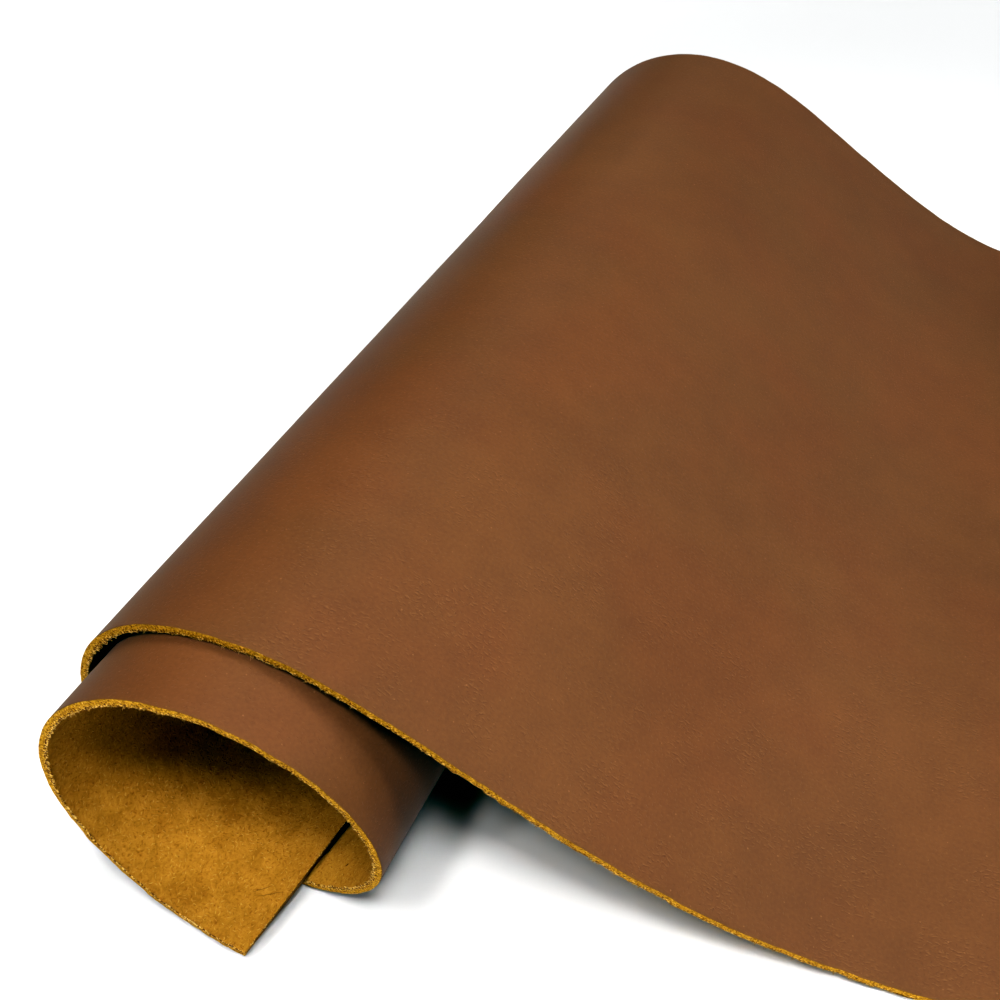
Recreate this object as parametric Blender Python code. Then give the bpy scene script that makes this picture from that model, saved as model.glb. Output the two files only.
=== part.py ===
"""A cut piece of leather, rolled up one and a half turns with its outer end lying flat.

The grain side is outward, the flesh side inward. The roll lies along Y on the plane z = 0. The
sheet is a flat rectangle that is bent in one direction only, so every line along Y stays straight.
"""

from collections import namedtuple
from math import cos, radians, sin, tan

import bmesh
import bpy
import numpy as np

# Driving dimensions, in metres
WIDTH = 0.305  # between the two long cut edges
LENGTH = 0.610  # from the inner end to the outer end, along the near edge
THICKNESS = 0.0021
SKEW = radians(6)  # rolled up this far askew, so that the inner turn steps out at the near end
INNER_CUT = radians(2)  # the inner end is cut out of square, longer toward the far edge
INNER_BEVEL = 0.0012  # its cut slants under: the grain side ends this far short of the flesh side
INNER_REACH = 0.080  # the columns nearer than this to the inner end are spread out to meet its cut
MARGIN = 0.046  # the roll reaches this far behind the near inner corner, along the section
SECTION_STEP = 0.001
ROWS = 8  # strips across the width
SHARP_ANGLE = radians(40)

# The sheet's bend along the roll. place: metres from the near inner corner, square to the axis.
# curl: radians a metre at that place, positive where the sheet winds inward, and even between rows.
Bend = namedtuple("Bend", "place curl")
BENDS = (
    Bend(-0.046, 31.0),  # far corner of the inner end
    Bend(-0.012, 30.9),  # inner end, lying in the bottom of the tube
    Bend(0.020, 26.1),
    Bend(0.070, 30.2),  # inner turn, left wall
    Bend(0.105, 28.0),
    Bend(0.140, 25.9),  # inner turn, over the top
    Bend(0.185, 29.0),  # right wall
    Bend(0.225, 25.1),  # bottom, where the roll stands
    Bend(0.260, 24.8),
    Bend(0.310, 28.3),  # outer turn, left wall
    Bend(0.345, 24.5),  # outer turn, over the top
    Bend(0.385, 12.2),
    Bend(0.420, 0.1),  # straight slope down to the table
    Bend(0.455, -2.2),
    Bend(0.500, -11.04),  # the bend that lays the sheet down
    Bend(0.525, -7.7),
    Bend(0.550, 0.0),  # flat from here to the outer end
)

# The near edge was cut by hand. bow: metres that it lies in from a straight line, at each place.
Wander = namedtuple("Wander", "place bow")
NEAR_EDGE = (
    Wander(0.000, 0.0065),
    Wander(0.035, 0.0054),
    Wander(0.068, 0.0041),
    Wander(0.105, 0.0048),
    Wander(0.150, 0.0055),
    Wander(0.225, 0.0035),
    Wander(0.300, -0.0010),
    Wander(0.360, -0.0035),
    Wander(0.415, -0.0052),
    Wander(0.450, -0.0049),
    Wander(0.478, -0.0033),
    Wander(0.505, -0.0010),
    Wander(0.540, 0.0008),
    Wander(0.610, 0.0040),
)


def clear_scene():
    for item in list(bpy.data.objects):
        bpy.data.objects.remove(item, do_unlink=True)


def rolled_section():
    """Places along the sheet's middle, and x and z there, from the inner end to the flat outer end.

    The heading is the sum of the curl, counted back from the outer end, where it is level. The
    middle never comes lower than half a thickness, which gives the tube a narrow flat foot.
    """
    place = np.arange(-MARGIN, LENGTH, SECTION_STEP)
    curl = np.interp(place, [row.place for row in BENDS], [row.curl for row in BENDS])
    turn = (curl[1:] + curl[:-1]) / 2 * SECTION_STEP
    heading = np.append(np.cumsum(turn[::-1])[::-1], 0.0)
    middle = (heading[1:] + heading[:-1]) / 2
    x = np.append(0.0, np.cumsum(np.cos(middle) * SECTION_STEP))
    z = np.append(0.0, np.cumsum(np.sin(middle) * SECTION_STEP))
    half = THICKNESS / 2
    return place, x, np.maximum(z - z[-1] + half, half)


def smooth_through(rows, values, at):
    """A smooth curve through a table's rows: cubic pieces that share their slopes."""
    places = np.array([row.place for row in rows])
    slopes = np.gradient(values, places)
    left = np.clip(np.searchsorted(places, at, side="right") - 1, 0, len(places) - 2)
    span = places[left + 1] - places[left]
    u = np.clip((at - places[left]) / span, 0.0, 1.0)
    start = values[left] * (2 * u**3 - 3 * u**2 + 1) + slopes[left] * span * (u**3 - 2 * u**2 + u)
    end = values[left + 1] * (3 * u**2 - 2 * u**3) + slopes[left + 1] * span * (u**3 - u**2)
    return start + end


def flat_grid(depth):
    """The sheet's flat pattern: along and across, in metres, on a grid of columns and rows.

    A column is as wide as the skew moves the bend in one row, so that the diagonals of the grid
    run straight along the rolled tube. depth is the distance below the grain side.
    """
    columns = round(LENGTH * ROWS / (WIDTH * tan(SKEW)))
    fraction, row = np.meshgrid(np.linspace(0, 1, columns + 1), np.linspace(0, 1, ROWS + 1))
    bow = smooth_through(NEAR_EDGE, np.array([item.bow for item in NEAR_EDGE]), fraction * LENGTH)
    across = bow + (WIDTH - bow) * row
    start = INNER_BEVEL * (1 - depth / THICKNESS) - across * tan(INNER_CUT)
    share = np.clip(1 - fraction * LENGTH / INNER_REACH, 0, 1)
    return fraction * LENGTH + start * share, across


def rolled_surface(depth):
    """The grid's points on the rolled sheet, at one depth below its outer, grain side."""
    place, x, z = rolled_section()
    dx, dz = np.gradient(x), np.gradient(z)
    length = np.hypot(dx, dz)
    lift = THICKNESS / 2 - depth
    off_x = x - dz / length * lift
    off_z = z + dx / length * lift
    along, across = flat_grid(depth)
    at = along * cos(SKEW) - across * sin(SKEW)
    y = along * sin(SKEW) + across * cos(SKEW)
    return np.stack([np.interp(at, place, off_x), y, np.interp(at, place, off_z)], axis=-1)


def grid_triangles(rows, columns):
    """Two triangles for each cell, parted along the diagonal that lies along the tube."""
    first = np.arange(rows - 1)[:, None] * columns + np.arange(columns - 1)
    corner = first.ravel()
    right, up, across = corner + 1, corner + columns, corner + columns + 1
    lower = np.stack([corner, right, across], axis=1)
    upper = np.stack([corner, across, up], axis=1)
    return np.concatenate([lower, upper])


def border_triangles(rows, columns):
    """Triangles that join the border of the grain grid to the same border of the flesh grid."""
    number = np.arange(rows * columns).reshape(rows, columns)
    borders = [number[0], number[:, -1], number[-1, ::-1], number[::-1, 0]]
    ring = np.concatenate([border[:-1] for border in borders])
    after = np.roll(ring, -1)
    below = rows * columns
    first = np.stack([ring, ring + below, after], axis=1)
    second = np.stack([after, ring + below, after + below], axis=1)
    return np.concatenate([first, second])


def leather_material():
    """Waxed brown leather."""
    material = bpy.data.materials.new("brown_leather")
    material.use_nodes = True
    shader = material.node_tree.nodes["Principled BSDF"]
    shader.inputs["Base Color"].default_value = (0.200, 0.080, 0.030, 1.0)
    shader.inputs["Roughness"].default_value = 0.48
    shader.inputs["Metallic"].default_value = 0.0
    material.diffuse_color = (0.200, 0.080, 0.030, 1.0)
    return material


def leather_sheet():
    """The whole sheet, centred over the origin: its grain side, its flesh side and its cut edges."""
    grain, flesh = rolled_surface(0.0), rolled_surface(THICKNESS)
    rows, columns = grain.shape[:2]
    points = np.concatenate([grain.reshape(-1, 3), flesh.reshape(-1, 3)])
    middle = (points.min(axis=0) + points.max(axis=0)) / 2
    points = points - [middle[0], middle[1], 0.0]
    side = grid_triangles(rows, columns)
    under = side[:, ::-1] + rows * columns
    faces = np.concatenate([side, under, border_triangles(rows, columns)])
    mesh = bpy.data.meshes.new("leather_sheet")
    mesh.from_pydata(points.tolist(), [], faces.tolist())
    solid = bmesh.new()
    solid.from_mesh(mesh)
    bmesh.ops.recalc_face_normals(solid, faces=solid.faces[:])
    solid.to_mesh(mesh)
    solid.free()
    mesh.shade_smooth()
    mesh.set_sharp_from_angle(angle=SHARP_ANGLE)
    mesh.materials.append(leather_material())
    sheet = bpy.data.objects.new("leather_sheet", mesh)
    bpy.context.scene.collection.objects.link(sheet)
    return sheet


clear_scene()
leather_sheet()
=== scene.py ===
from collections import namedtuple
from math import cos, pi, radians, sin, tan

import bmesh
import bpy
import numpy as np
from mathutils import Matrix


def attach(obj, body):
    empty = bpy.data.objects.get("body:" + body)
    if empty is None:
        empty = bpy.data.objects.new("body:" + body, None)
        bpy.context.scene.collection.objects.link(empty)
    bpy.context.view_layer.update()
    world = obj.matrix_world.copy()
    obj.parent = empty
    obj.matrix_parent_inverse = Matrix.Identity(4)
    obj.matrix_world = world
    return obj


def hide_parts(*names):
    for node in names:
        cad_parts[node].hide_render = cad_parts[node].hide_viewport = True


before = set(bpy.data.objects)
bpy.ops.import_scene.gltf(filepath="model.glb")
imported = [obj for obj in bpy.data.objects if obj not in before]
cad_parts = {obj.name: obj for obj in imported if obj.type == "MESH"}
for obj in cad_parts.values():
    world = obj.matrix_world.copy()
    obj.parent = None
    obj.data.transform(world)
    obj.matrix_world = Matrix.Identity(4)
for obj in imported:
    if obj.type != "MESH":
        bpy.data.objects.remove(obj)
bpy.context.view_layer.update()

# ------------------------------------------------------------------------------------------------
# The leather: one rectangle cut from a hide, waxed brown on its grain side and rough ochre suede
# on its flesh side. It is rolled up one and a half turns, a little askew, and its springy outer
# end slopes off the tube and lies flat on the table.
# ------------------------------------------------------------------------------------------------

# Sizes in metres
WIDTH = 0.305  # between the two long cut edges
LENGTH = 0.610  # from the inner end to the outer end, along the near edge
THICKNESS = 0.0021
SKEW = radians(6)  # rolled up this far askew, so that the inner turn steps out at the near end
INNER_CUT = radians(2)  # the inner end is cut out of square, longer toward the far edge
INNER_BEVEL = 0.0012  # its cut slants under: the grain side ends this far short of the flesh side
INNER_REACH = 0.080  # the lines nearer than this to the inner end are spread out to meet its cut
MARGIN = 0.046  # the roll reaches this far behind the near inner corner, along the section
SECTION_STEP = 0.0001

# The sheet's bend along the roll. place: metres from the near inner corner, square to the axis.
# curl: radians a metre at that place, positive where the sheet winds inward, and even between rows.
Bend = namedtuple("Bend", "place curl")
BENDS = (
    Bend(-0.046, 31.0),  # far corner of the inner end
    Bend(-0.012, 30.9),  # inner end, lying in the bottom of the tube
    Bend(0.020, 26.1),
    Bend(0.070, 30.2),  # inner turn, left wall
    Bend(0.105, 28.0),
    Bend(0.140, 25.9),  # inner turn, over the top
    Bend(0.185, 29.0),  # right wall
    Bend(0.225, 25.1),  # bottom, where the roll stands
    Bend(0.260, 24.8),
    Bend(0.310, 28.3),  # outer turn, left wall
    Bend(0.345, 24.5),  # outer turn, over the top
    Bend(0.385, 12.2),
    Bend(0.420, 0.1),  # straight slope down to the table
    Bend(0.455, -2.2),
    Bend(0.500, -11.04),  # the bend that lays the sheet down
    Bend(0.525, -7.7),
    Bend(0.550, 0.0),  # flat from here to the outer end
)

# The near edge was cut by hand. bow: metres that it lies in from a straight line, at each place.
Wander = namedtuple("Wander", "place bow")
NEAR_EDGE = (
    Wander(0.000, 0.0065),
    Wander(0.035, 0.0054),
    Wander(0.068, 0.0041),
    Wander(0.105, 0.0048),
    Wander(0.150, 0.0055),
    Wander(0.225, 0.0035),
    Wander(0.300, -0.0010),
    Wander(0.360, -0.0035),
    Wander(0.415, -0.0052),
    Wander(0.450, -0.0049),
    Wander(0.478, -0.0033),
    Wander(0.505, -0.0010),
    Wander(0.540, 0.0008),
    Wander(0.610, 0.0040),
)

# The profile of a cut edge from the grain side to the flesh side, in metres. inset: in from the
# cut. depth: below the grain. The knife leaves the grain corner slightly rolled over.
Cut = namedtuple("Cut", "inset depth")
CUT_PROFILE = (
    Cut(0.00020, 0.0),
    Cut(0.00006, 0.00005),
    Cut(0.0, 0.00020),
    Cut(0.0, 0.00060),
    Cut(0.0, 0.00105),
    Cut(0.0, 0.00150),
    Cut(0.0, 0.00185),
    Cut(0.00004, 0.00203),
    Cut(0.00016, THICKNESS),
)

# Where the mesh has its lines. step: metres between lines up to the place end.
Spacing = namedtuple("Spacing", "end step")
ALONG_LINES = (Spacing(0.440, 0.00045), Spacing(LENGTH, 0.00095))
EDGE_LINES = (0.0, 0.0006, 0.0015, 0.0035, 0.007)  # from a long edge inward
ACROSS_STEP = 0.0125

# How far the sheet and its cuts are off perfect, and how far apart the bumps of each kind are. A
# pair gives large bumps and small ones.
SWELL = 0.00012  # the sheet, off a perfect roll
SWELL_SIZES = 0.045, 0.020
CUT_WAVER = 0.00014  # the knife, off its line
WAVER_SIZES = 0.0045, 0.0016
END_WAVER_SIZE = 0.004
CUT_CRUMBLE = 0.00005  # the cut face
CRUMB_SIZE = 0.0006
GRAIN_SKIN = 0.0001  # down to this depth the hide is tight, and its cut strays less
TORN = 0.0008  # the flesh's fibres, torn past the cut's inner corner
TEAR_SIZE = 0.0010


def rolled_section():
    """Places along the sheet's middle, and x and z there, from the inner end to the flat outer end.

    The heading is the sum of the curl, counted back from the outer end, where it is level. The
    middle never comes lower than half a thickness, which gives the tube a narrow flat foot.
    """
    place = np.arange(-MARGIN, LENGTH + SECTION_STEP, SECTION_STEP)
    curl = np.interp(place, [row.place for row in BENDS], [row.curl for row in BENDS])
    turn = (curl[1:] + curl[:-1]) / 2 * SECTION_STEP
    heading = np.append(np.cumsum(turn[::-1])[::-1], 0.0)
    middle = (heading[1:] + heading[:-1]) / 2
    x = np.append(0.0, np.cumsum(np.cos(middle) * SECTION_STEP))
    z = np.append(0.0, np.cumsum(np.sin(middle) * SECTION_STEP))
    half = THICKNESS / 2
    return place, x, np.maximum(z - z[-1] + half, half)


def smooth_through(rows, values, at):
    """A smooth curve through a table's rows: cubic pieces that share their slopes."""
    places = np.array([row.place for row in rows])
    slopes = np.gradient(values, places)
    left = np.clip(np.searchsorted(places, at, side="right") - 1, 0, len(places) - 2)
    span = places[left + 1] - places[left]
    u = np.clip((at - places[left]) / span, 0.0, 1.0)
    start = values[left] * (2 * u**3 - 3 * u**2 + 1) + slopes[left] * span * (u**3 - 2 * u**2 + u)
    end = values[left + 1] * (3 * u**2 - 2 * u**3) + slopes[left + 1] * span * (u**3 - u**2)
    return start + end


def near_edge_bow(along):
    """How far the near edge lies in from a straight line, at places along the sheet."""
    return smooth_through(NEAR_EDGE, np.array([row.bow for row in NEAR_EDGE]), along)


UNEVEN_CELLS = 256  # along each side of the square of random heights, which then repeats


def uneven(u, v, size, seed):
    """Smooth random heights between -1 and 1 over u and v, with bumps about size apart.

    Random heights on a square lattice, mixed by the smoothstep 3t^2 - 2t^3 of the place in a cell.
    """
    heights = np.random.default_rng(seed).uniform(-1, 1, (UNEVEN_CELLS, UNEVEN_CELLS))
    u, v = np.broadcast_arrays(u / size, v / size)
    left, low = np.floor(u).astype(int), np.floor(v).astype(int)
    tu, tv = u - left, v - low
    tu, tv = tu * tu * (3 - 2 * tu), tv * tv * (3 - 2 * tv)
    columns = [(left + step) % UNEVEN_CELLS for step in (0, 1)]
    rows = [(low + step) % UNEVEN_CELLS for step in (0, 1)]
    near = heights[columns[0], rows[0]] * (1 - tu) + heights[columns[1], rows[0]] * tu
    far = heights[columns[0], rows[1]] * (1 - tu) + heights[columns[1], rows[1]] * tu
    return near * (1 - tv) + far * tv


def uneven_twice(u, v, sizes, seed):
    """Uneven heights of the large size, and half as high ones of the small size."""
    return uneven(u, v, sizes[0], seed) + 0.5 * uneven(u, v, sizes[1], seed + 1)


SECTION = rolled_section()
SECTION_SLOPE = np.gradient(SECTION[1]), np.gradient(SECTION[2])
SECTION_LENGTH = np.hypot(*SECTION_SLOPE)


def roll_up(along, across, depth):
    """The rolled-up place of flat points: along from the inner end, across from the near edge.

    The roll's section is entered at along cos(skew) - across sin(skew), and the point is put off
    the sheet's middle by half the thickness less its depth, along the section's normal.
    """
    place, x, z = SECTION
    at = along * cos(SKEW) - across * sin(SKEW)
    lift = THICKNESS / 2 - depth
    off_x = np.interp(at, place, -SECTION_SLOPE[1] / SECTION_LENGTH)
    off_z = np.interp(at, place, SECTION_SLOPE[0] / SECTION_LENGTH)
    return np.stack(
        [
            np.interp(at, place, x) + lift * off_x,
            along * sin(SKEW) + across * cos(SKEW),
            np.interp(at, place, z) + lift * off_z,
        ],
        axis=-1,
    )


def roll_centre():
    """The middle of the roll's outline from above, which is the frame's origin."""
    share = np.linspace(0, 1, 2001)
    near = near_edge_bow(share * LENGTH)
    inner_near, inner_far = -near * tan(INNER_CUT), -WIDTH * tan(INNER_CUT)
    near_line = roll_up(inner_near + (LENGTH - inner_near) * share, near, 0.0)
    far_line = roll_up(inner_far + (LENGTH - inner_far) * share, WIDTH, 0.0)
    outline = np.concatenate([near_line, far_line])
    return (outline.min(axis=0) + outline.max(axis=0)) / 2 * [1, 1, 0]


def sheet_lines():
    """Shares along and distances across at which the mesh has its lines."""
    along = [np.zeros(1)]
    for row in ALONG_LINES:
        start = along[-1][-1]
        along.append(np.linspace(start, row.end, round((row.end - start) / row.step) + 1)[1:])
    edge = np.array(EDGE_LINES)
    middle = np.linspace(edge[-1], WIDTH - edge[-1], round((WIDTH - 2 * edge[-1]) / ACROSS_STEP) + 1)
    across = np.concatenate([edge, middle[1:-1], WIDTH - edge[::-1]])
    return np.concatenate(along) / LENGTH, across


def flat_from_shares(along_share, across_share, depth):
    """Flat places from shares of the length and width.

    The near edge has its bow. The inner end starts at bevel (1 - depth / thickness) - across
    tan(cut), and the places within the inner reach are spread out evenly to meet it.
    """
    near = near_edge_bow(along_share * LENGTH)
    across = near + (WIDTH - near) * across_share
    start = INNER_BEVEL * (1 - depth / THICKNESS) - across * tan(INNER_CUT)
    share = np.clip(1 - along_share * LENGTH / INNER_REACH, 0, 1)
    return along_share * LENGTH + start * share, across


def flat_places(i, k, j, along_lines, across_lines):
    """Along, across and depth of lattice points: column i along, row k across, layer j through.

    A point on a cut face stands in from the cut by the inset of its layer and the knife's stray.
    On the flesh corner of a long edge, the points are torn down where a random wave is high.
    """
    inset = np.array([row.inset for row in CUT_PROFILE])[j]
    depth = np.array([row.depth for row in CUT_PROFILE])[j]
    share = along_lines[i]
    along, across = flat_from_shares(share, across_lines[k] / WIDTH, depth)
    last_row, last_column = len(across_lines) - 1, len(along_lines) - 1
    waver = uneven_twice(share * LENGTH, 0.0, WAVER_SIZES, 11) * CUT_WAVER
    crumble = uneven(share * LENGTH, depth, CRUMB_SIZE, 13) * CUT_CRUMBLE
    stray = (waver + crumble) * np.where(depth > GRAIN_SKIN, 1.0, 0.8)
    torn = np.maximum(uneven(share * LENGTH, 0.7, TEAR_SIZE, 15) - 0.15, 0.0) * TORN
    at_corner = (j == len(CUT_PROFILE) - 1) & ((k == 0) | (k == last_row))
    depth = depth + np.where(at_corner, torn, 0.0)
    across = across + np.where(k == 0, inset + stray, 0.0)
    across = across - np.where(k == last_row, inset + stray, 0.0)
    end_stray = uneven(across, 0.5, END_WAVER_SIZE, 14) * CUT_WAVER
    along = along + np.where(i == 0, inset + end_stray, 0.0)
    along = along - np.where(i == last_column, inset + end_stray, 0.0)
    return along, across, depth


def lie_of_the_sheet(along, across, depth):
    """Rolled-up points of the real sheet: a little swollen off the perfect roll, never under z = 0."""
    swell = uneven_twice(along, across, SWELL_SIZES, 21) * SWELL
    points = roll_up(along, across, depth - swell) - CENTRE
    points[..., 2] = np.maximum(points[..., 2], 0.0)
    return points


CENTRE = roll_centre()


def side_of_lattice(i, k, j):
    """Lattice numbers of one side as three flat arrays, and the shape of its grid."""
    grids = np.broadcast_arrays(i, k, j)
    shape = tuple(n for n in grids[0].shape if n > 1)
    return [grid.reshape(-1) for grid in grids], shape


def grid_quads(shape, first):
    """Quads of a grid of points numbered row by row from first."""
    corner = first + np.arange(shape[0] - 1)[:, None] * shape[1] + np.arange(shape[1] - 1)
    corner = corner.reshape(-1)
    return np.stack([corner, corner + 1, corner + shape[1] + 1, corner + shape[1]], axis=1)


class Wire:
    """A socket of a material's nodes. Arithmetic on it adds Math nodes."""

    def __init__(self, tree, socket=None):
        self.tree = tree
        self.socket = socket

    def node(self, kind, settings=None, inputs=None, output=0):
        """Adds a node: its settings first, then its sockets' values or links."""
        made = self.tree.nodes.new(kind)
        for name, value in (settings or {}).items():
            setattr(made, name, value)
        for name, value in (inputs or {}).items():
            if isinstance(value, Wire):
                self.tree.links.new(value.socket, made.inputs[name])
            else:
                made.inputs[name].default_value = value
        return Wire(self.tree, made.outputs[output])

    def math(self, operation, *values, clamp=False):
        settings = {"operation": operation, "use_clamp": clamp}
        return self.node("ShaderNodeMath", settings, dict(enumerate(values)))

    def __add__(self, other):
        return self.math("ADD", self, other)

    def __radd__(self, other):
        return self.math("ADD", other, self)

    def __sub__(self, other):
        return self.math("SUBTRACT", self, other)

    def __rsub__(self, other):
        return self.math("SUBTRACT", other, self)

    def __mul__(self, other):
        return self.math("MULTIPLY", self, other)

    def __rmul__(self, other):
        return self.math("MULTIPLY", other, self)

    def ramp(self, low, high):
        """0 below low, 1 above high and a smooth step between, or falling if low is over high."""
        settings = {"interpolation_type": "SMOOTHSTEP"}
        inputs = {"Value": self, "From Min": low, "From Max": high}
        return self.node("ShaderNodeMapRange", settings, inputs)

    def mix(self, share, first, second):
        """The first colour where share is 0, and the second where it is 1."""
        inputs = {0: share, 6: first, 7: second}
        return self.node("ShaderNodeMix", {"data_type": "RGBA"}, inputs, output=2)

    def noise(self, place, scale, detail=2.0, rough=0.5, distort=0.0):
        inputs = {"Vector": place, "Scale": scale, "Detail": detail}
        inputs |= {"Roughness": rough, "Distortion": distort}
        return self.node("ShaderNodeTexNoise", {"noise_dimensions": "3D"}, inputs)

    def turned(self, place, angle=0.0, stretch=(1.0, 1.0, 1.0), shift=(0.0, 0.0, 0.0)):
        """The place, turned in the sheet by angle, stretched along and across, then shifted."""
        inputs = {"Vector": place, "Rotation": (0.0, 0.0, angle), "Scale": stretch}
        inputs |= {"Location": shift}
        return self.node("ShaderNodeMapping", {"vector_type": "POINT"}, inputs)

    def vector(self, operation, first, second, output=0):
        return self.node(
            "ShaderNodeVectorMath", {"operation": operation}, {0: first, 1: second}, output
        )

    def swayed(self, place, scale, reach):
        """The place, moved by up to half the reach along and across, as a noise tells."""
        inputs = {"Vector": place, "Scale": scale, "Detail": 1.0}
        sway = self.node("ShaderNodeTexNoise", {"noise_dimensions": "3D"}, inputs, output="Color")
        centred = self.vector("SUBTRACT", sway, (0.5, 0.5, 0.5))
        return self.vector("ADD", place, self.vector("MULTIPLY", centred, (reach, reach, 0.0)))

    def strokes(self, place, cells, half_length, half_width, share):
        """1 on short strokes that lie every way, falling smoothly to 0 at their rims.

        There are so many cells a metre, and this share of them has a stroke. The way from the
        cell's point is turned by 2 pi times the cell's random red, then divided by the half length
        and the half width. The stroke is where the result is shorter than 1.
        """
        settings = {"voronoi_dimensions": "2D", "feature": "F1"}
        inputs = {"Vector": place, "Scale": cells, "Randomness": 1.0}
        middle = self.node("ShaderNodeTexVoronoi", settings, inputs, output="Position")
        random = Wire(self.tree, middle.socket.node.outputs["Color"])
        red = self.node("ShaderNodeSeparateColor", {}, {"Color": random}, output="Red")
        green = Wire(self.tree, red.socket.node.outputs["Green"])
        away = self.vector("SUBTRACT", place, middle)
        inputs = {"Vector": away, "Angle": red * (2 * pi)}
        lying = self.node("ShaderNodeVectorRotate", {"rotation_type": "Z_AXIS"}, inputs)
        divided = self.vector("MULTIPLY", lying, (1 / half_length, 1 / half_width, 0.0))
        distance = self.vector("LENGTH", divided, (0.0, 0.0, 0.0), output="Value")
        return distance.ramp(1.0, 0.35) * self.math("LESS_THAN", green, share)

    def mark(self, place, mark):
        """1 on one thin mark in the sheet, falling smoothly to 0 at its rim."""
        away = self.vector("SUBTRACT", place, (mark.along, mark.across, 0.0))
        inputs = {"Vector": away, "Angle": -mark.angle}
        lying = self.node("ShaderNodeVectorRotate", {"rotation_type": "Z_AXIS"}, inputs)
        divided = self.vector("MULTIPLY", lying, (1 / mark.half_length, 1 / mark.half_width, 0.0))
        return self.vector("LENGTH", divided, (0.0, 0.0, 0.0), output="Value").ramp(1.0, 0.4)


def new_finish(name):
    """A material with an empty Principled shader, as (material, its first wire, the shader)."""
    material = bpy.data.materials.new(name)
    material.use_nodes = True
    shader = material.node_tree.nodes["Principled BSDF"]
    return material, Wire(material.node_tree), shader


def put_on(shader, colour, rough, specular, height=None, relief=0.0):
    """Joins a finish to its shader. relief: metres between a height of 0 and of 1 in its bump."""
    colour.tree.links.new(colour.socket, shader.inputs["Base Color"])
    if isinstance(rough, Wire):
        rough.tree.links.new(rough.socket, shader.inputs["Roughness"])
    else:
        shader.inputs["Roughness"].default_value = rough
    shader.inputs["Specular IOR Level"].default_value = specular
    if height is not None:
        inputs = {"Strength": 1.0, "Distance": relief, "Height": height}
        bump = colour.node("ShaderNodeBump", {}, inputs)
        bump.tree.links.new(bump.socket, shader.inputs["Normal"])


def grain_finish():
    """Waxed brown grain: cloudy tone, fine pits and scuffs, and a soft satin shine.

    Its fine wrinkles lie across the sheet where it is loose: near the near edge, on the slope.
    Their ridges carry a painted highlight, and the grooves beside them painted shade.
    """
    material, new, shader = new_finish("waxed_brown_grain")
    flat = new.node("ShaderNodeUVMap", {"uv_map": "flat"})
    clouds = new.noise(flat, 13.0, detail=3.0)
    warmth = new.noise(new.turned(flat, 0.6), 21.0, detail=2.0)
    mottle = new.noise(flat, 85.0, detail=4.0, rough=0.6)
    fine = new.noise(flat, 1100.0, detail=3.0, rough=0.65)
    # Its tone lies between two olive browns, or in warm patches between two russet ones
    tone = (clouds * 0.32 + mottle * 0.28 + fine * 0.34).ramp(0.26, 0.68)
    olive = new.mix(tone, (0.103, 0.0434, 0.0141, 1.0), (0.141, 0.0616, 0.0204, 1.0))
    russet = new.mix(tone, (0.106, 0.0422, 0.0136, 1.0), (0.144, 0.0596, 0.0196, 1.0))
    colour = new.mix(warmth.ramp(0.40, 0.65), olive, russet)
    wavy = new.swayed(flat, 900.0, 0.0005)
    pits = new.strokes(wavy, 900.0, 0.00042, 0.00014, 0.55)
    scuffs = new.strokes(new.turned(wavy, 0.4, shift=(0.3, 0.1, 0.0)), 620.0, 0.00060, 0.00013, 0.35)
    specks = new.noise(flat, 1500.0, detail=0.0).ramp(0.80, 0.86)
    # Worn patches, mostly on the loose leather: stretched noises make its wrinkles, and the same ones
    # shifted a little make the grooves beside them. The wrinkles are painted lighter on their ridges,
    # a painted highlight, and darker in the grooves, painted shade
    along = new.node("ShaderNodeSeparateXYZ", {}, {"Vector": flat}, output="X")
    across = Wire(new.tree, along.socket.node.outputs["Y"])
    loose = 0.15 + across.ramp(0.15, 0.05) * along.ramp(0.28, 0.42) * 0.85
    wear_and_glints = new.noise(flat, 60.0, detail=2.0).ramp(0.42, 0.64) * loose
    crooked = new.swayed(flat, 500.0, 0.0014)
    ridges_and_highlight = new.noise(new.turned(crooked, stretch=(750.0, 2400.0, 1.0)), 1.0, detail=1.0)
    beside = new.turned(crooked, stretch=(750.0, 2400.0, 1.0), shift=(0.0, 0.60, 0.0))
    groove_shade = new.noise(beside, 1.0, detail=1.0)
    colour = new.mix(pits * wear_and_glints * 0.25, colour, (0.050, 0.0180, 0.0045, 1.0))
    colour = new.mix(scuffs * wear_and_glints * 0.14, colour, (0.270, 0.1350, 0.0550, 1.0))
    colour = new.mix(specks * 0.25, colour, (0.300, 0.1600, 0.0700, 1.0))
    # Painted shade in the wrinkles' grooves, then a painted highlight on their ridges
    colour = new.mix(groove_shade.ramp(0.58, 0.68) * wear_and_glints * 0.30, colour, (0.055, 0.0190, 0.0050, 1.0))
    colour = new.mix(ridges_and_highlight.ramp(0.58, 0.68) * wear_and_glints * 0.13, colour, (0.330, 0.1750, 0.0750, 1.0))
    slanting = new.turned(new.turned(flat, -0.75), stretch=(520.0, 1400.0, 1.0))
    creases = ridges_and_highlight * 0.4 + new.noise(slanting, 1.0, detail=1.0) * 0.3
    height = creases * (0.4 + wear_and_glints * 0.6) + fine * 0.25 - pits * 0.4 + scuffs * 0.2
    rough = 0.52 + mottle * 0.08 + fine * 0.08
    put_on(shader, colour, rough, specular=0.13, height=height, relief=0.00011)
    shader.inputs["Sheen Weight"].default_value = 0.04
    shader.inputs["Sheen Roughness"].default_value = 0.4
    return material


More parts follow.
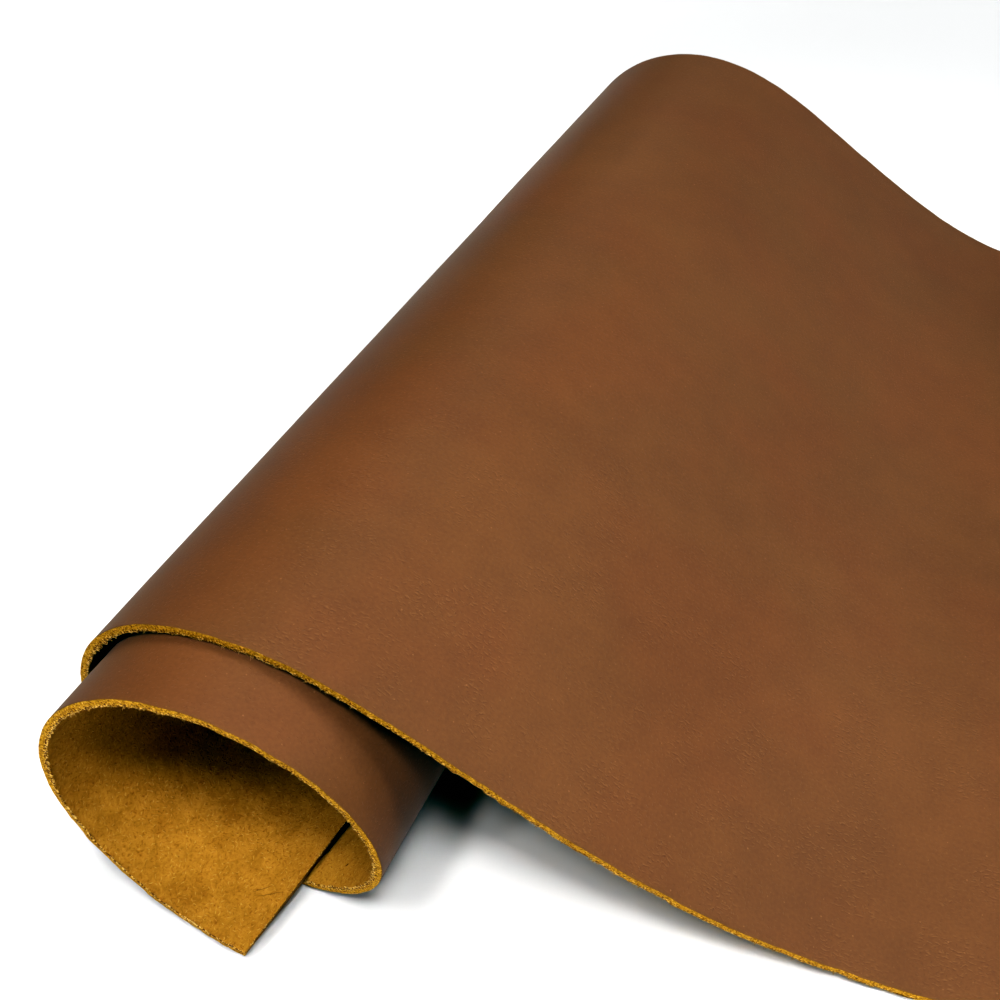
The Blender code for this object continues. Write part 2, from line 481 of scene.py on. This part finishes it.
# Painted shade: dark lines in the flesh side's colour where it has creases and a nick. along, across:
# the middle of one, in metres on the flat sheet. angle: of its length, in radians from the way
# along. strength: how far its painted shade darkens the hide.
Mark = namedtuple("Mark", "along across half_length half_width angle strength")
FLESH_CREASE_SHADES = (
    Mark(0.2148, 0.0098, 0.00085, 0.00022, 2.5, 0.9),  # painted shade of a nick in the outer turn
    Mark(0.0070, 0.0202, 0.00330, 0.00016, 2.4, 0.6),
    Mark(0.0040, 0.0201, 0.00450, 0.00014, 2.6, 0.5),
    Mark(0.0222, 0.0380, 0.00080, 0.00022, 0.6, 0.6),
    Mark(0.0150, 0.0290, 0.00160, 0.00014, 2.9, 0.4),
)


def flesh_finish():
    """Ochre suede: short matted fibres that lie every way, some red-brown and some pale yellow."""
    material, new, shader = new_finish("ochre_suede_flesh")
    flat = new.node("ShaderNodeUVMap", {"uv_map": "flat"})
    clouds = new.noise(flat, 38.0, detail=3.0)
    matted = new.noise(flat, 620.0, detail=4.0, rough=0.65, distort=1.6)
    fibres = new.noise(flat, 2400.0, detail=2.0, rough=0.6, distort=1.5)
    patches = new.noise(new.turned(flat, 0.5), 190.0, detail=2.0, distort=0.8)
    tone = (clouds * 0.26 + patches * 0.22 + matted * 0.34 + fibres * 0.18).ramp(0.37, 0.63)
    colour = new.mix(tone, (0.296, 0.1410, 0.0160, 1.0), (0.482, 0.2580, 0.0368, 1.0))
    # Single fibres, most of them brown, with some short dark ones and some of straw yellow
    wavy = new.swayed(flat, 800.0, 0.0011)
    brown = new.strokes(wavy, 620.0, 0.00072, 0.00021, 0.75)
    short = new.strokes(new.turned(wavy, 1.1, shift=(0.2, 0.3, 0.0)), 900.0, 0.00042, 0.00018, 0.5)
    straw = new.strokes(new.turned(wavy, 0.7, shift=(0.1, 0.4, 0.0)), 760.0, 0.00060, 0.00012, 0.55)
    thick = new.noise(flat, 150.0, detail=2.0).ramp(0.35, 0.65)
    colour = new.mix(brown * thick * 0.50, colour, (0.200, 0.0640, 0.0030, 1.0))
    colour = new.mix(short * 0.42, colour, (0.190, 0.0700, 0.0030, 1.0))
    colour = new.mix(straw * 0.28, colour, (0.800, 0.5600, 0.1500, 1.0))
    crooked = new.swayed(flat, 500.0, 0.0010)
    # Dark lines of painted shade in the creases and the nick
    for mark in FLESH_CREASE_SHADES:
        crease_shade = new.mark(crooked, mark) * mark.strength
        colour = new.mix(crease_shade, colour, (0.070, 0.0150, 0.0020, 1.0))
    height = matted * 0.9 + fibres * 0.5 - brown * 0.35 - short * 0.4 + straw * 0.5
    rough = 0.82 + matted * 0.12
    put_on(shader, colour, rough, specular=0.05, height=height, relief=0.00020)
    return material


def cut_finish():
    """The cut through the hide: packed gold fibres, crumblier and paler toward the flesh side, with
    painted shade in the gaps between them, more of it toward the flesh side.

    Next to the grain the dye has soaked in. The inner end has depth 0 all over it, so its whole cut
    face takes that dark dyed colour.
    """
    material, new, shader = new_finish("cut_hide_edge")
    flat = new.node("ShaderNodeUVMap", {"uv_map": "flat"})
    depth = new.node("ShaderNodeAttribute", {"attribute_name": "depth"}, output="Fac")
    packed = new.noise(flat, 1150.0, detail=3.0, rough=0.75, distort=0.8)
    crumbs = new.noise(flat, 2100.0, detail=2.0, rough=0.6, distort=0.6)
    grit = new.noise(new.turned(flat, 0.8), 1900.0, detail=1.0)
    tone = (packed * 0.50 + crumbs * 0.50).ramp(0.39, 0.61)
    colour = new.mix(tone, (0.265, 0.1230, 0.0052, 1.0), (0.650, 0.3700, 0.0300, 1.0))
    fleshward = depth.ramp(0.30, 1.0)
    # Painted shade in the gaps between the fibres, more of it toward the flesh, and pale clumps, also
    # more common toward the flesh, then the dyed line at the grain
    gap_shade = (grit * 0.6 + crumbs * 0.4 - fleshward * 0.13).ramp(0.42, 0.365)
    colour = new.mix(gap_shade * 0.90, colour, (0.110, 0.0310, 0.0027, 1.0))
    clumps = (packed * 0.45 + crumbs * 0.55 + fleshward * 0.09).ramp(0.600, 0.640)
    colour = new.mix(clumps * 0.70, colour, (0.880, 0.6300, 0.2100, 1.0))
    # The dark dyed colour: a line along the grain side, and all of the inner end's face
    dark_grain_line_and_end = (depth + (packed - 0.5) * 0.06).ramp(0.055, 0.020)
    colour = new.mix(dark_grain_line_and_end, colour, (0.170, 0.0800, 0.0140, 1.0))
    height = packed * 0.8 + crumbs * 1.0
    rough = 0.74 + packed * 0.16
    put_on(shader, colour, rough, specular=0.08, height=height, relief=0.00026)
    return material


# Where each side of the sheet lies in the bake map, in the order of the sides in leather_mesh
Box = namedtuple("Box", "left right low high")
BAKE_BOXES = (
    Box(0.004, 0.996, 0.532, 0.996),  # grain
    Box(0.004, 0.996, 0.060, 0.524),  # flesh
    Box(0.004, 0.996, 0.042, 0.056),  # near cut
    Box(0.004, 0.996, 0.023, 0.037),  # far cut
    Box(0.004, 0.496, 0.004, 0.018),  # inner end
    Box(0.504, 0.996, 0.004, 0.018),  # outer end
)


GRAIN, FLESH, RAW = range(3)  # the sheet's finishes, in the order in which it takes them


def leather_mesh():
    """The closed sheet: six grids of one lattice, joined along their borders.

    Each side is a grid in two of the lattice's three numbers, with the third at its first or last.
    A side's last value tells whether its quads are flipped to face outward. The flat map is the
    sheet laid flat, with the raw cuts folded out around it.
    """
    along_lines, across_lines = sheet_lines()
    columns, rows, layers = len(along_lines), len(across_lines), len(CUT_PROFILE)
    i, k, j = np.arange(columns), np.arange(rows), np.arange(layers)
    sides = (
        (i[None, :], k[:, None], 0, GRAIN, False),  # grain side
        (i[None, :], k[:, None], layers - 1, FLESH, True),  # flesh side
        (i[None, :], 0, j[:, None], RAW, True),  # near cut
        (i[None, :], rows - 1, j[:, None], RAW, False),  # far cut
        (0, k[None, :], j[:, None], RAW, False),  # inner end
        (columns - 1, k[None, :], j[:, None], RAW, True),  # outer end
    )
    points, quads, finishes, flat, depths, shares, numbers = [], [], [], [], [], [], []
    first = 0
    for number, (a, b, c, finish, flip) in enumerate(sides):
        (ii, kk, jj), shape = side_of_lattice(a, b, c)
        along, across, depth = flat_places(ii, kk, jj, along_lines, across_lines)
        points.append(lie_of_the_sheet(along, across, depth))
        made = grid_quads(shape, first)
        quads.append(made[:, ::-1] if flip else made)
        finishes.append(np.full(len(made), finish))
        on_cut = finish == RAW
        on_end = on_cut and np.ndim(a) == 0
        at_inner_end = on_end and a == 0
        down_near = np.where(kk == 0, -depth, np.where(kk == rows - 1, depth, 0.0))
        down_end = np.where(ii == 0, -depth, np.where(ii == columns - 1, depth, 0.0))
        flat_along = along + (down_end if on_end else 0.0)
        flat_across = across + (down_near if on_cut and not on_end else 0.0)
        flat.append(np.stack([flat_along, flat_across], axis=1))
        # The inner end has depth 0 all over, which gives its whole face the cut's dark dyed colour
        depths.append(depth / THICKNESS * (0.0 if at_inner_end else 1.0))
        lengthwise = kk / (rows - 1) if on_end else along_lines[ii]
        crosswise = jj / (layers - 1) if on_cut else across_lines[kk] / WIDTH
        shares.append(np.stack([lengthwise, crosswise], axis=1))
        numbers.append(np.full(len(ii), number))
        first += len(ii)
    points, quads = np.concatenate(points), np.concatenate(quads)
    mesh = bpy.data.meshes.new("rolled_leather")
    mesh.from_pydata(points.tolist(), [], quads.tolist())
    mesh.polygons.foreach_set("material_index", np.concatenate(finishes).astype(np.int32))
    corners = np.empty(len(mesh.loops), np.int32)
    mesh.loops.foreach_get("vertex_index", corners)
    layer = mesh.uv_layers.new(name="flat")
    layer.uv.foreach_set("vector", np.concatenate(flat)[corners].astype(np.float32).reshape(-1))
    bake_layout(mesh, np.concatenate(shares), np.concatenate(numbers))
    depth_layer = mesh.attributes.new("depth", "FLOAT", "POINT")
    depth_layer.data.foreach_set("value", np.concatenate(depths).astype(np.float32))
    return mesh


def bake_layout(mesh, places, sides):
    """A second map, for baking: the grain above, the flesh under it and the cuts in thin bands.

    Each side's own two shares, from 0 to 1, are spread over its rectangle of the unit square.
    """
    layer = mesh.uv_layers.new(name="OFBake")
    corners = np.empty(len(mesh.loops), np.int32)
    mesh.loops.foreach_get("vertex_index", corners)
    low = np.array([(box.left, box.low) for box in BAKE_BOXES])[sides]
    high = np.array([(box.right, box.high) for box in BAKE_BOXES])[sides]
    uv = low + (high - low) * places
    layer.uv.foreach_set("vector", uv[corners].astype(np.float32).reshape(-1))


def welded(mesh, reach):
    """Joins the mesh's points that lie within reach of each other."""
    work = bmesh.new()
    work.from_mesh(mesh)
    bmesh.ops.remove_doubles(work, verts=work.verts, dist=reach)
    work.to_mesh(mesh)
    work.free()


WELD_REACH = 1e-6
SHARP_ANGLE = radians(38)

leather = bpy.data.objects.new("rolled_leather", leather_mesh())
bpy.context.scene.collection.objects.link(leather)
welded(leather.data, WELD_REACH)
for finish in (grain_finish(), flesh_finish(), cut_finish()):
    leather.data.materials.append(finish)
leather.data.shade_smooth()
leather.data.set_sharp_from_angle(angle=SHARP_ANGLE)

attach(leather, "root")
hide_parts("leather_sheet")

# ------------------------------------------------------------------------------------------------
# The cut edge's fuzz: loose ends of the hide's fibres that the knife left along all four cuts,
# matted on the cut face and standing in small tufts off the flesh-side corner.
# ------------------------------------------------------------------------------------------------

# A kind of fuzz, in metres. tufts: how many in each metre of edge. each: fibres in a tuft.
# reach: how far a tuft spreads. longest: its longest fibre. shallow, deep: the depths between
# which it roots. outward, drop: how far it leans off the cut and toward the flesh, against 1 of
# random lean.
Fuzz = namedtuple("Fuzz", "tufts each reach longest shallow deep outward drop")
FUZZ = (
    Fuzz(1300, 1, 0.00012, 0.00036, 0.00045, 0.00195, 0.35, 0.2),  # matted on the face
    Fuzz(480, 6, 0.00014, 0.00045, 0.00185, 0.00210, 0.6, 0.8),  # crumbs, along the flesh corner
    Fuzz(280, 7, 0.00018, 0.00072, 0.00190, 0.00210, 1.0, 1.0),  # tufts on the flesh corner
)
TUFTS_GATHER = 0.012  # metres along a cut between thick places and thin ones
TUFT_SPAN = 0.0005, 0.9995  # tufts keep between these shares of a cut's length
FIBRE_WIDTH = 0.000085
FIBRE_CURL = 0.35  # how far a fibre bends at random, as a share of its length
FIBRE_STATIONS = np.array([0.0, 0.5, 1.0])  # shares of its length where a fibre has its rings
FIBRE_TAPER = np.array([1.0, 0.75, 0.2])
FIBRE_SIDES = 3

# The four cuts. start, end: flat corners as shares along and across. out: which way is off the
# sheet, along and across.
Side = namedtuple("Side", "start end out")
CUTS = (
    Side((0, 0), (1, 0), (0, -1)),  # near edge
    Side((0, 1), (1, 1), (0, 1)),  # far edge
    Side((0, 0), (0, 1), (-1, 0)),  # inner end
    Side((1, 0), (1, 1), (1, 0)),  # outer end
)


def sheet_axes(along, across):
    """Unit directions along, across and down into the sheet, at flat places."""
    place = SECTION[0]
    at = along * cos(SKEW) - across * sin(SKEW)
    tx = np.interp(at, place, SECTION_SLOPE[0] / SECTION_LENGTH)
    tz = np.interp(at, place, SECTION_SLOPE[1] / SECTION_LENGTH)
    still = np.zeros_like(tx)
    section, axis = np.stack([tx, still, tz], axis=-1), np.array([0.0, 1.0, 0.0])
    lengthwise = section * cos(SKEW) + axis * sin(SKEW)
    crosswise = axis * cos(SKEW) - section * sin(SKEW)
    return lengthwise, crosswise, np.stack([tz, still, -tx], axis=-1)


def tuft_fibres(side, fuzz, draws):
    """Roots, leans and lengths of one kind of fuzz along one cut.

    Tufts stand thicker where a slow random wave along the cut is high. Each fibre leans by the
    kind's outward and drop shares and by a random lean of length 1. One that leans back into the
    sheet is turned out again.
    """
    length = LENGTH if side.out[0] == 0 else WIDTH
    centre = draws.uniform(0, 1, 2 * round(fuzz.tufts * length))
    thick = 0.5 + 0.5 * uneven(centre * length, 0.3, TUFTS_GATHER, 31)
    centre = centre[draws.uniform(0, 1, len(centre)) < thick]
    size = draws.uniform(0.35, 1.0, len(centre)) ** 1.5
    depth = draws.uniform(fuzz.shallow, fuzz.deep, len(centre))
    centre, size, depth = (np.repeat(values, fuzz.each) for values in (centre, size, depth))
    count = len(centre)
    share = np.clip(centre + draws.normal(0, fuzz.reach, count) / length, *TUFT_SPAN)
    depth = np.clip(depth + draws.normal(0, fuzz.reach / 2, count), fuzz.shallow, THICKNESS)
    start, end = np.array(side.start), np.array(side.end)
    shares = start + (end - start) * share[:, None]
    along, across = flat_from_shares(shares[:, 0], shares[:, 1], depth)
    lengthwise, crosswise, down = sheet_axes(along, across)
    out = side.out[0] * lengthwise + side.out[1] * crosswise
    random_lean = draws.normal(0, 1, (count, 3))
    random_lean /= np.linalg.norm(random_lean, axis=1)[:, None]
    lean = out * fuzz.outward + down * fuzz.drop + random_lean
    lean /= np.linalg.norm(lean, axis=1)[:, None]
    inside = np.minimum((lean * out).sum(axis=1), 0.0)[:, None]
    lean = lean - 1.6 * inside * out
    root = lie_of_the_sheet(along, across, depth) - out * FIBRE_WIDTH
    long = fuzz.longest * size * draws.uniform(0.45, 1.0, count)
    curl = draws.normal(0, FIBRE_CURL, (count, 3))
    return root, lean, curl, long


def fibre_mesh():
    """All fibres as thin tapered tubes: root + length (u lean + u^2 curl), in rings of three."""
    draws = np.random.default_rng(41)
    made = [tuft_fibres(side, fuzz, draws) for side in CUTS for fuzz in FUZZ]
    root, lean, curl, long = (np.concatenate(values) for values in zip(*made))
    count = len(root)
    u = FIBRE_STATIONS[None, :, None]
    spine = root[:, None] + long[:, None, None] * (u * lean[:, None] + u**2 * curl[:, None])
    side_a = np.cross(lean, [0.31, 0.57, 0.76])  # a direction that hardly any fibre lies in
    side_a /= np.linalg.norm(side_a, axis=1)[:, None]
    side_b = np.cross(lean, side_a)
    turn = 2 * pi * np.arange(FIBRE_SIDES) / FIBRE_SIDES
    ring = np.cos(turn)[:, None] * side_a[:, None] + np.sin(turn)[:, None] * side_b[:, None]
    width = FIBRE_WIDTH / 2 * draws.uniform(0.7, 1.5, count)
    thick = width[:, None, None, None] * FIBRE_TAPER[None, :, None, None]
    points = spine[:, :, None] + thick * ring[:, None]
    points[..., 2] = np.maximum(points[..., 2], 0.0)
    stations = len(FIBRE_STATIONS)
    first = np.arange(count)[:, None, None] * stations * FIBRE_SIDES
    ring_start = first + np.arange(stations - 1)[None, :, None] * FIBRE_SIDES
    here, after = np.arange(FIBRE_SIDES), (np.arange(FIBRE_SIDES) + 1) % FIBRE_SIDES
    low, high = ring_start, ring_start + FIBRE_SIDES
    quads = np.stack([low + here, low + after, high + after, high + here], axis=-1)
    tips = first[:, 0] + (stations - 1) * FIBRE_SIDES + np.arange(FIBRE_SIDES)
    roots = first[:, 0] + np.arange(FIBRE_SIDES)[::-1]
    mesh = bpy.data.meshes.new("edge_fuzz")
    faces = quads.reshape(-1, 4).tolist() + tips.tolist() + roots.tolist()
    mesh.from_pydata(points.reshape(-1, 3).tolist(), [], faces)
    shade = np.repeat(draws.uniform(0, 1, count), stations * FIBRE_SIDES)
    mesh.attributes.new("shade", "FLOAT", "POINT").data.foreach_set("value", shade)
    mesh.shade_smooth()
    return mesh


def fuzz_finish():
    """Loose collagen fibres, ochre to pale straw."""
    material, new, shader = new_finish("loose_hide_fibre")
    shade = new.node("ShaderNodeAttribute", {"attribute_name": "shade"}, output="Fac")
    place = new.node("ShaderNodeTexCoord", output="Object")
    patch = new.noise(place, 900.0, detail=1.0)
    tone = shade * 0.7 + patch * 0.3
    colour = new.mix(tone, (0.320, 0.155, 0.010, 1.0), (0.860, 0.610, 0.190, 1.0))
    put_on(shader, colour, 0.6 + patch * 0.2, specular=0.3)
    return material


fuzz = bpy.data.objects.new("edge_fuzz", fibre_mesh())
bpy.context.scene.collection.objects.link(fuzz)
fuzz.data.materials.append(fuzz_finish())
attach(fuzz, "root")

# ------------------------------------------------------------------------------------------------
# The floor: a plain pale studio floor under the roll.
# ------------------------------------------------------------------------------------------------

FLOOR_HALF = 6.0  # metres from the middle to each side


def floor_finish():
    """Matt pale paint with a faint unevenness."""
    material, new, shader = new_finish("pale_floor")
    place = new.node("ShaderNodeTexCoord", output="Object")
    shade = new.noise(place, 3.0, detail=1.0)
    colour = new.mix(shade, (0.71, 0.71, 0.71, 1.0), (0.73, 0.73, 0.73, 1.0))
    put_on(shader, colour, 0.9, specular=0.1)
    return material


floor_mesh = bpy.data.meshes.new("floor")
floor_corners = np.array([(-1, -1, 0), (1, -1, 0), (1, 1, 0), (-1, 1, 0)]) * FLOOR_HALF
floor_mesh.from_pydata(floor_corners.tolist(), [], [(0, 1, 2, 3)])
floor_mesh.materials.append(floor_finish())
floor = bpy.data.objects.new("floor", floor_mesh)
bpy.context.scene.collection.objects.link(floor)

# ------------------------------------------------------------------------------------------------
# Studio light: four soft lamps behind and to the right, four small ones in front of the roll that
# reach into it, three narrow ones that lift the slope and the far end, and two that light only
# the floor behind. The room itself gives no light.
# ------------------------------------------------------------------------------------------------

# place, aim: where a lamp stands and what it points at, and size: its width, in metres. power: in
# watts. spread: how wide its beam is, in degrees.
Lamp = namedtuple("Lamp", "name place aim size power spread")
LAMPS = (
    Lamp("right_lamp", (2.31, 0.84, 1.72), (0.0, 0.0, 0.03), 0.7, 29.2, 180),
    Lamp("back_right_lamp", (1.70, 1.70, 1.70), (0.0, 0.0, 0.03), 0.5, 12.8, 180),
    Lamp("near_right_lamp", (0.93, 0.54, 0.90), (0.0, 0.0, 0.03), 0.5, 2.15, 180),
    Lamp("back_lamp", (-0.14, 1.45, 2.62), (0.0, 0.0, 0.03), 0.7, 34.3, 180),
    Lamp("front_lamp", (-0.09, -0.51, 0.88), (-0.09, -0.40, 0.0), 0.14, 2.2, 180),
    Lamp("high_front_lamp", (-0.12, -0.40, 0.92), (-0.12, -0.35, 0.0), 0.10, 1.2, 180),
    Lamp("low_front_lamp", (-0.30, -0.85, 0.60), (-0.15, -0.45, 0.0), 0.10, 1.75, 180),
    Lamp("right_front_lamp", (0.22, -0.35, 0.85), (-0.09, -0.17, 0.02), 0.22, 0.37, 50),
    Lamp("near_slope_lamp", (0.20, -0.30, 0.55), (0.17, -0.16, 0.0), 0.2, 0.10, 45),
    Lamp("slope_lamp", (0.10, 0.0, 0.70), (0.10, 0.02, 0.03), 0.2, 0.055, 60),
    Lamp("far_end_lamp", (-0.05, 0.25, 0.65), (-0.06, 0.15, 0.06), 0.15, 0.045, 40),
    Lamp("backdrop_lamp", (-1.05, 1.00, 1.40), (-0.85, 0.75, 0.0), 0.5, 3.6, 50),
    Lamp("far_backdrop_lamp", (-1.30, 1.40, 1.40), (-1.10, 1.15, 0.0), 0.5, 26.0, 50),
)
BLACK_LEVEL = (0.0350, 0.0118, 0.0045)  # red, green and blue below this come out black


def facing(place, aim):
    """The turn of a lamp at place whose light goes toward aim."""
    back = np.array(place) - np.array(aim)
    back = back / np.linalg.norm(back)
    right = np.cross([0.0, 1.0, 0.0], back)
    right = right / np.linalg.norm(right)
    return Matrix(np.stack([right, np.cross(back, right), back], axis=1).tolist())


for row in LAMPS:
    light = bpy.data.lights.new(row.name, "AREA")
    light.shape = "DISK"
    light.size = row.size
    light.energy = row.power
    light.spread = radians(row.spread)
    lamp = bpy.data.objects.new(row.name, light)
    lamp.matrix_world = Matrix.Translation(row.place) @ facing(row.place, row.aim).to_4x4()
    bpy.context.scene.collection.objects.link(lamp)

world = bpy.data.worlds.new("room")
world.use_nodes = True
world.node_tree.nodes["Background"].inputs["Strength"].default_value = 0.0
bpy.context.scene.world = world
view = bpy.context.scene.view_settings
view.view_transform = "Standard"
view.look = "High Contrast"
view.use_curve_mapping = True
view.curve_mapping.black_level = BLACK_LEVEL

# ------------------------------------------------------------------------------------------------
# The camera: above the roll's near end and to its right, looking down along it and to its left.
# ------------------------------------------------------------------------------------------------

# Where it stands, in metres, and which ways its right, its top and its back face
CAMERA_PLACE = (0.02799, -0.25194, 0.23554)
CAMERA_RIGHT = (0.90546, 0.41918, -0.06661)
CAMERA_UP = (-0.23661, 0.62879, 0.74070)
CAMERA_BACK = (0.35237, -0.65491, 0.66852)
LENS = 39.595  # millimetres, on the 36 mm side

camera_data = bpy.data.cameras.new("camera")
camera_data.lens = LENS
camera_data.clip_start = 0.01
camera_data.clip_end = 50.0
camera = bpy.data.objects.new("camera", camera_data)
turn = Matrix((CAMERA_RIGHT, CAMERA_UP, CAMERA_BACK)).transposed().to_4x4()
camera.matrix_world = Matrix.Translation(CAMERA_PLACE) @ turn
bpy.context.scene.collection.objects.link(camera)
bpy.context.scene.camera = camera
